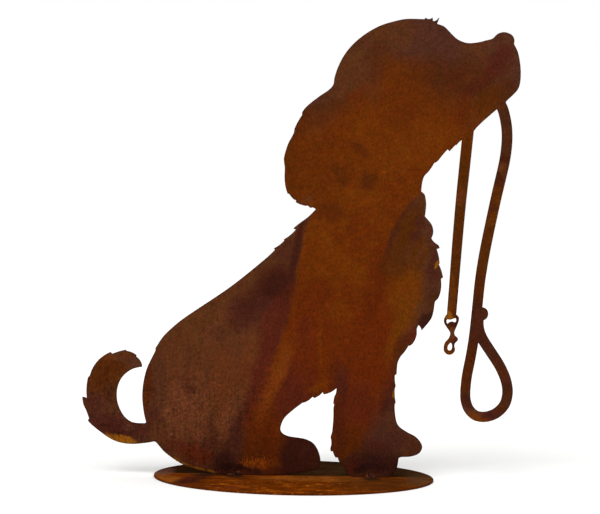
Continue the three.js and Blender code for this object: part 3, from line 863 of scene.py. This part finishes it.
plateTones = {
    "ochre": (96, 41, 3), "tan": (116, 62, 18), "flame": (150, 82, 14), "umber": (76, 35, 7),
    "plum": (62, 26, 14), "lilac": (96, 62, 48), "shade": (38, 23, 12), "ash": (70, 44, 24),
    "rim": (62, 24, 6), "olive": (74, 38, 11), "earth": (56, 36, 18),
}
# tone, place along X and Y, half width, half depth, turn in degrees, strength, softness
plateRust = {
    "gain": 0.85,
    "haze": 0.0,
    "wander": 5.0,
    "wanderSwells": 30,
    "shadowEdge": -0.002,     # where the painted shade behind the sheet begins, along Y in metres
    "underShift": 0.37,       # metres between the pattern on top and the one underneath
    "stains": [
        ("tan", 24, -26, 54, 18, 0, 0.85, 0.6), ("olive", 84, -58, 34, 44, 0, 0.85, 0.6),
        ("umber", 62, -84, 34, 26, 0, 0.6, 0.6), ("olive", 118, -34, 16, 22, 0, 0.6, 0.6),
        ("ash", 134, -20, 14, 44, 0, 0.8, 0.6), ("umber", -40, -70, 60, 14, 0, 0.4, 0.7),
        ("flame", -88, -6, 10, 5, 0, 0.8, 0.5), ("tan", -128, -50, 14, 34, -20, 0.95, 0.5),
        ("plum", -104, -44, 12, 46, 16, 0.95, 0.4), ("umber", -58, -34, 40, 14, 0, 0.4, 0.6),
        # the two shade stains before the welds are painted shadows and reflections of the welds, and heat
        # marks as well
        ("plum", -80, -100, 34, 10, 22, 0.5, 0.6), ("shade", 81, -10, 8, 22, 0, 0.85, 0.5),
        ("shade", -64, -8, 9, 16, 0, 0.85, 0.5),
    ],
    "rearStains": [
        ("lilac", -138, 14, 10, 30, 0, 0.6, 0.5), ("earth", 20, 60, 90, 50, 0, 0.6, 0.6),
        # the shade stain here is painted shade on the plate just in front of the sheet, under the haunch
        ("ash", 138, 20, 14, 50, 0, 0.5, 0.6), ("shade", -90, -6, 20, 9, 0, 0.9, 0.4),
    ],
    # the width of a swell, or its width and depth, in metres, and how much the light changes over it
    "cloud": 0.03,
    "runs": (0.04, 0.016), "runsDepth": 2.6,
    "flecks": (0.011, 0.009), "flecksDepth": 1.0,
    "fine": (0.003, 0.006), "fineDepth": 1.5,
}


def makePlateFinish(look, tones):
    # ochre rust under stains, runs and flecks, with painted shade behind the sheet; the underside has its
    # own pattern, because its places are shifted
    f = Finish("rustedPlate", look["gain"], look["haze"])
    x, y, z = f.parts(f.coords)
    under = z.math("LESS_THAN", 0.0004)
    flat = f.add("ShaderNodeCombineXYZ", {}, [x, under * look["underShift"], y])
    where = f.astray(flat, look["wander"], look["wanderSwells"])
    cloud = f.noise(flat, look["cloud"], 4, 0.6)
    runs = f.streaks(flat, look["runs"], 5, 0.72)
    flecks = f.streaks(flat, look["flecks"], 4, 0.7)
    fine = f.streaks(flat, look["fine"], 3, 0.7)
    colour = f.mix(tones["ochre"], tones["umber"], cloud.rise(0.45, 0.72) * 0.7)
    colour = f.mix(colour, tones["flame"], runs.rise(0.55, 0.72) * 0.5)
    for mark in look["stains"]:
        colour = stain(f, colour, where, mark, tones)
    # bright flecks on the front half, and painted shade behind the sheet, where less light comes down
    near = y.rise(-0.02, -0.09) * x.rise(0.09, 0.03) * x.rise(-0.12, -0.08)
    colour = f.mix(colour, tones["flame"], flecks.rise(0.56, 0.66) * near * 0.85)
    colour = f.mix(colour, tones["plum"], flecks.rise(0.42, 0.32) * near * 0.5)
    edge = look["shadowEdge"]
    behind = (f.parts(where)[2] * 0.3 + y * 0.7).rise(edge, edge + 0.01)
    colour = f.mix(colour, tones["shade"], behind * 0.95)
    for mark in look["rearStains"]:
        colour = stain(f, colour, where, mark, tones)
    light = 1 + (fine - 0.5) * look["fineDepth"] + (runs - 0.5) * look["runsDepth"]
    colour = f.shade(colour, light + (flecks - 0.5) * look["flecksDepth"])
    # the rim, with a few painted highlights as bright flecks in front
    fromMiddle = f.vector("LENGTH", f.vector("MULTIPLY", f.coords, (1, 1, 0)), (0, 0, 0), 1)
    rim = fromMiddle.rise(0.1465, 0.1477)
    fleck = f.noise(f.coords, 0.008, 4, 0.6).rise(0.56, 0.7) * y.rise(-0.11, -0.14)
    colour = f.mix(colour, f.mix(tones["rim"], tones["flame"], fleck), rim * 0.75)
    dullness = cloud * 0.2 + fine * 0.15 + 0.5
    return f.finish(colour, dullness, [(fine, 0.0002), (cloud, 0.0004)], 0.0)


# the tack welds: one dictionary for each, with its lumps of metal as place along the sheet,
# half length, reach from the sheet and height
weldShapes = {
    "frontTackWeld": {
        "node": "weld_bead_front",
        "lumps": [(80.6, 6.6, 5.5, 5.0)],
        "ripple": 1.5,        # from one ridge to the next
        "seed": 8, "grains": 7,
        "spread": 13,         # how far the spatter lies from the middle
    },
    "rearTackWeld": {
        "node": "weld_bead_rear",
        "lumps": [(-61.0, 5.6, 5.5, 6.0), (-68.0, 3.6, 4.0, 3.2)],
        "ripple": 1.4,
        "seed": 4, "grains": 10,
        "spread": 16,
    },
}
# what both beads share
beadShape = {
    "corner": (-0.92, 1.9),   # along Y and Z, just inside the sheet and the plate
    "sunk": 0.1,              # how far the corner lies inside them
    "rows": 73, "turns": 19,
    "bow": 1.2,               # how far the ridges bow along the bead
    "ridge": 0.15, "dent": 0.14,
    "dentSizes": (2.4, 1.2), "dentSeed": 61,
    "ballSectors": 10, "ballBands": 6,
    "ballRadius": (0.3, 0.7),
    "onSheet": 0.6,           # the share of the spatter that sticks to the sheet
    "ballUp": (3, 10), "ballOut": (3, 11),
    "ballSunk": 0.7,          # how much of its radius lies inside what it sticks to
}


def makeBead(shape, common):
    # a rounded fillet carried along the corner between sheet and plate: at each place the larger lump's
    # half circle gives its reach and height, and ridges and small dents run across it
    lumps = shape["lumps"]
    start = min(c - h for c, h, _, _ in lumps) + 0.02
    stop = max(c + h for c, h, _, _ in lumps) - 0.02
    along = start + (stop - start) * (1 - np.cos(np.linspace(0, math.pi, common["rows"]))) / 2
    swell = [np.sqrt(np.clip(1 - ((along - c) / h) ** 2, 0, 1)) for c, h, _, _ in lumps]
    reach = np.max([s * lump[2] for s, lump in zip(swell, lumps)], axis=0)
    height = np.max([s * lump[3] for s, lump in zip(swell, lumps)], axis=0)
    u, a = np.meshgrid(along, np.linspace(0, math.pi / 2, common["turns"]), indexing="ij")
    crescent = u + common["bow"] * np.sin(2 * a)
    ridge = 0.5 + 0.5 * np.cos(crescent * 2 * math.pi / shape["ripple"])
    dents = pitting(u, a * 4, common["dentSizes"], common["dentSeed"])
    size = 1 - common["ridge"] * ridge - common["dent"] * dents
    cornerY, cornerZ = common["corner"]
    y = cornerY - (reach[:, None] - common["sunk"]) * np.cos(a) * size
    z = cornerZ + (height[:, None] - common["sunk"]) * np.sin(a) * size
    corner = np.stack([along, np.full_like(along, cornerY), np.full_like(along, cornerZ)], -1)
    grid = np.concatenate([np.stack([u, y, z], -1), corner[:, None]], axis=1)
    number = np.arange(grid[..., 0].size).reshape(grid.shape[:2])
    first, last = number[0], number[-1]
    caps = [fan(first[-1], first[:-1]), fan(last[-1], last[-2::-1])]
    return grid.reshape(-1, 3), gridFaces(number), np.concatenate(caps), (start + stop) / 2


def makeBall(radius, sectors, bands):
    # rings of points from pole to pole, closed by fans of triangles at both poles
    rise, turn = np.meshgrid(np.linspace(0, math.pi, bands + 1)[1:-1],
                             np.arange(sectors) / sectors * 2 * math.pi, indexing="ij")
    rings = np.stack([np.sin(rise) * np.cos(turn), np.sin(rise) * np.sin(turn), np.cos(rise)], -1)
    corners = np.concatenate([rings.reshape(-1, 3), [[0, 0, 1], [0, 0, -1]]]) * radius
    number = np.arange(rise.size).reshape(rise.shape)
    first, last = (np.append(row, row[0]) for row in (number[0], number[-1]))
    poles = [fan(rise.size, first), fan(rise.size + 1, last[::-1])]
    return corners, gridFaces(number), np.concatenate(poles)


def chanceWithin(rng, low, high):
    # a random number from low to high
    return low + (high - low) * rng.random()


def makeWeld(name, shape, common, material):
    # the bead, and spatter: small grains stuck to the sheet and the plate around it
    rng = np.random.default_rng(shape["seed"])
    *bead, middle = makeBead(shape, common)
    pieces = [bead]
    count = len(bead[0])
    face, top = sheetShape["thick"] / 2, plateShape["thick"]
    for _ in range(shape["grains"]):
        radius = chanceWithin(rng, *common["ballRadius"])
        x = chanceWithin(rng, middle - shape["spread"], middle + shape["spread"])
        onSheet = rng.random() < common["onSheet"]
        up, out = chanceWithin(rng, *common["ballUp"]), chanceWithin(rng, *common["ballOut"])
        proud = radius * (1 - common["ballSunk"])
        place = (x, -face - proud, up) if onSheet else (x, -out, top + proud)
        corners, quads, triangles = makeBall(radius, common["ballSectors"], common["ballBands"])
        pieces.append((corners + place, quads + count, triangles + count))
        count += len(corners)
    corners, quads, triangles = (np.concatenate(part) for part in zip(*pieces))
    return makePiece(name, corners, [quads, triangles], material)


def makeWeldFinish(tones):
    # burnt metal with brown and orange rust, whose khaki patches and orange flecks are also painted
    # highlights, and the rear bead burnt darker
    f = Finish("weldMetal", 1.25)
    x = f.parts(f.coords)[0]
    cloud = f.noise(f.coords, 0.0035, 4, 0.6)
    fine = f.noise(f.coords, 0.0009, 3, 0.6)
    colour = f.mix(tones["soot"], tones["khaki"], cloud.rise(0.42, 0.6))
    # orange flecks: rust, and painted glints in place of small highlights
    colour = f.mix(colour, tones["ember"], fine.rise(0.55, 0.7) * 0.5)
    colour = f.mix(colour, tones["black"], x.rise(0.01, -0.01) * cloud.rise(0.6, 0.45) * 0.8)
    return f.finish(colour, cloud * 0.3 + 0.12, [(fine, 0.0002)], 0.04)


# the pale floor: half its width in metres, and its two tones
floorShape = {"half": 30, "tones": ((248, 248, 247), (251, 251, 250)), "swell": 0.4, "dullness": 0.9}


def makeFloor(shape):
    # one square, which is not part of the object
    half = shape["half"]
    mesh = bpy.data.meshes.new("floor")
    corners = [(-half, -half, 0), (half, -half, 0), (half, half, 0), (-half, half, 0)]
    mesh.from_pydata(corners, [], [(0, 1, 2, 3)])
    f = Finish("paperFloor")
    colour = f.mix(*shape["tones"], f.noise(f.coords, shape["swell"]))
    mesh.materials.append(f.finish(colour, shape["dullness"], [], 0.0))
    floor = bpy.data.objects.new("floor", mesh)
    bpy.context.scene.collection.objects.link(floor)


sheet = makeSheet(sheetShape, makeSheetFinish(sheetRust, sheetGrain, rustTones))
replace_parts(sheet, "dog_silhouette")
print("sheet made", len(sheet.data.polygons))
plate = makePlate(plateShape, makePlateFinish(plateRust, plateTones))
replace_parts(plate, "base_plate")
print("plate made", len(plate.data.polygons))
weldMetal = makeWeldFinish(rustTones)
for name, shape in weldShapes.items():
    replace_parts(makeWeld(name, shape, beadShape, weldMetal), shape["node"])
print("welds made")
makeFloor(floorShape)

print("done")
